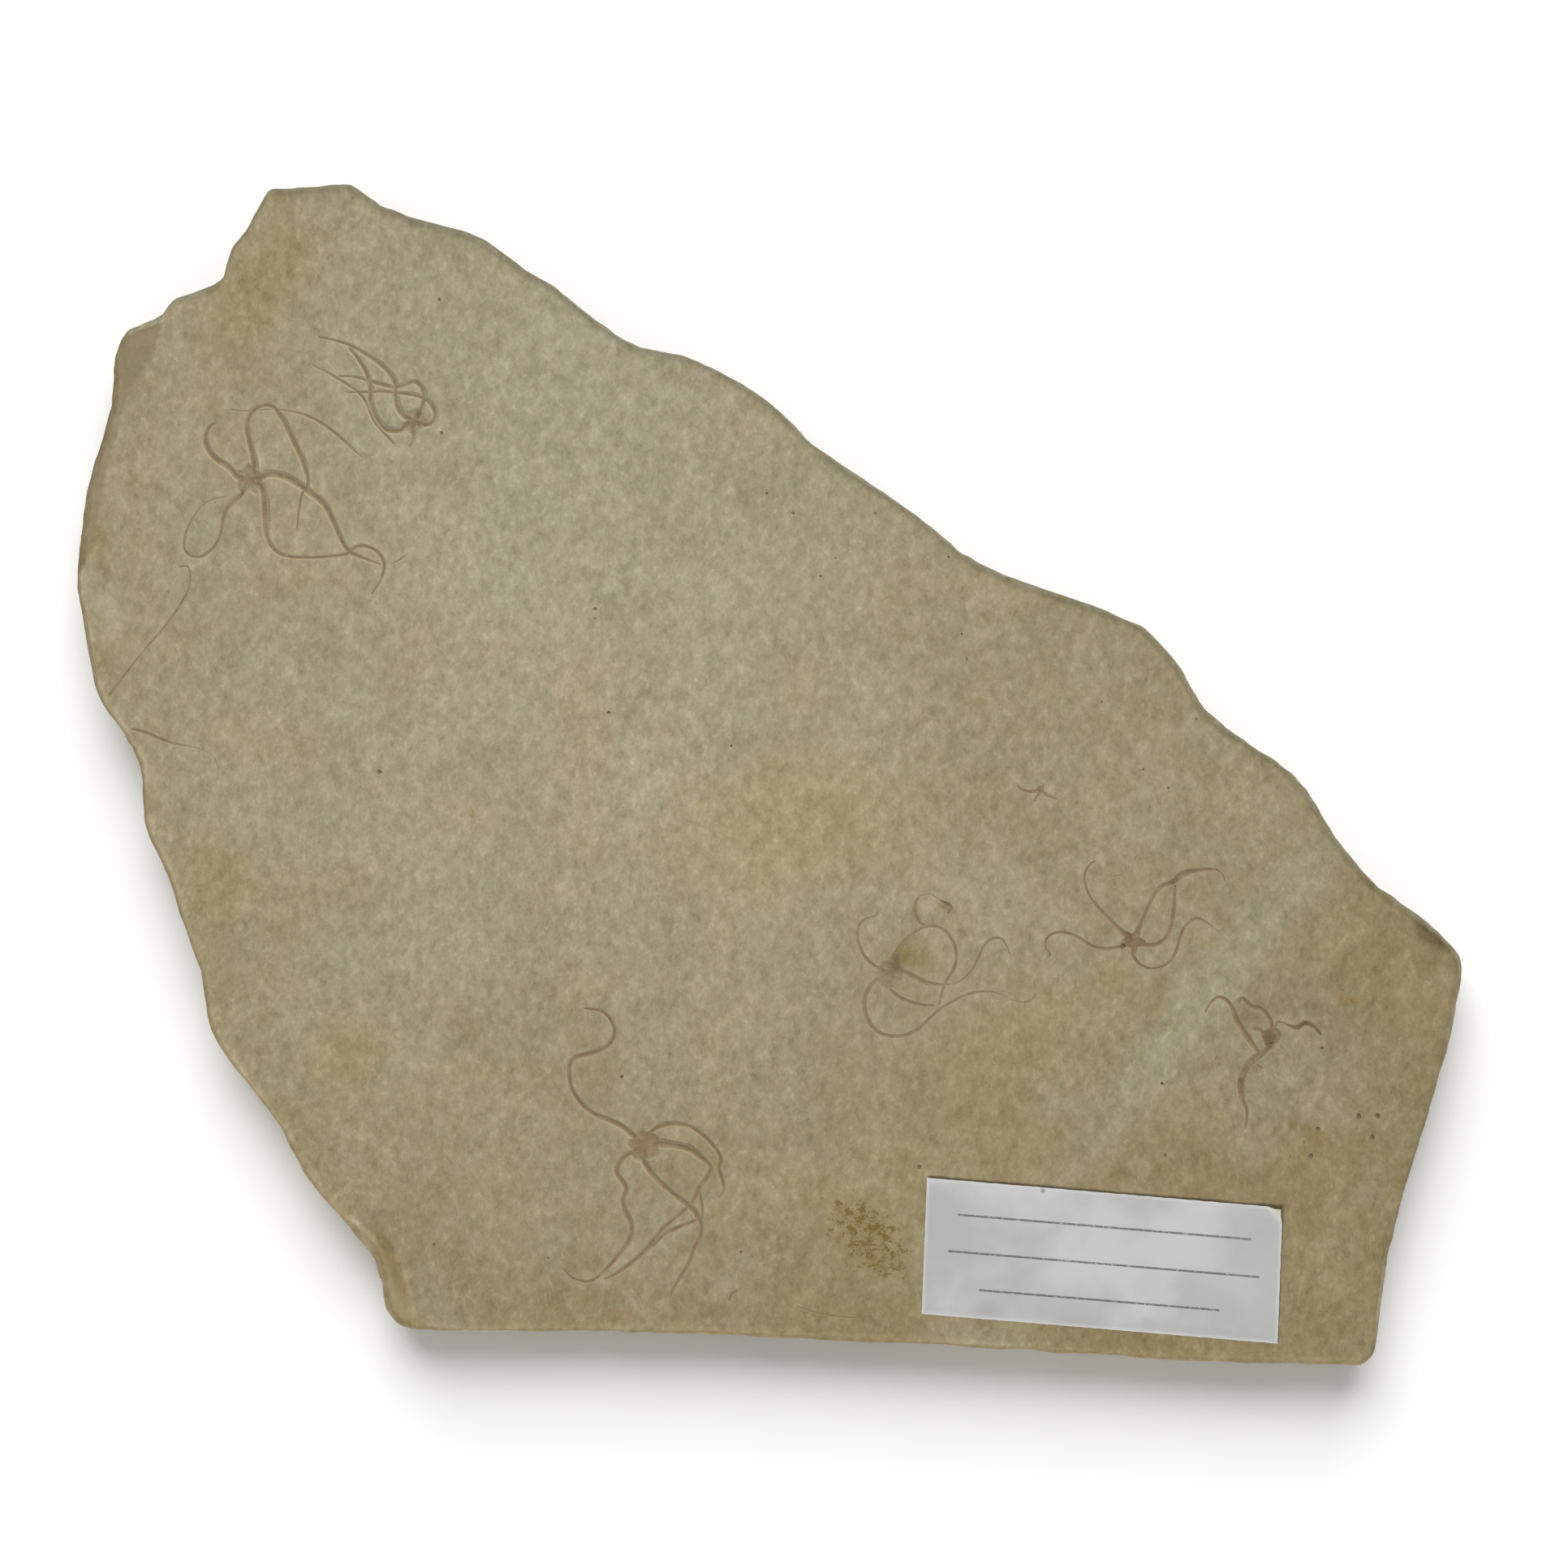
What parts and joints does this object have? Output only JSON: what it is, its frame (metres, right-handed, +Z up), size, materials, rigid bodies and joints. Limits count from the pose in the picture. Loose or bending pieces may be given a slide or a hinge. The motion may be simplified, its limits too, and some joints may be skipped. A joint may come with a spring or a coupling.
{
  "type": "fossil brittle star slab",
  "caption": "Flat broken slab of fine-grained limestone with fossil brittle stars in low relief on its upper face and a small paper label.",
  "frame": {"origin": "on the flat underside, at the middle of the object's box", "axes": "+Z up out of the fossil face, +X along the longest extent towards the labelled end, +Y towards the long sloping edge"},
  "size_m": [0.2591, 0.221, 0.0128],
  "materials": {
    "limestone": "matte",
    "fossil_calcite": "matte",
    "label_paper": "matte"
  },
  "bodies": {
    "root": {"slab": "limestone", "brittle_star_upper_left": "fossil_calcite", "brittle_star_curled": "fossil_calcite", "brittle_star_lower": "fossil_calcite", "brittle_star_ring": "fossil_calcite", "brittle_star_right": "fossil_calcite", "brittle_star_far_right": "fossil_calcite", "brittle_star_juvenile": "fossil_calcite", "arm_fragment_left_edge": "fossil_calcite", "arm_fragment_left_hook": "fossil_calcite", "label": "label_paper"}
  },
  "joints": []
}
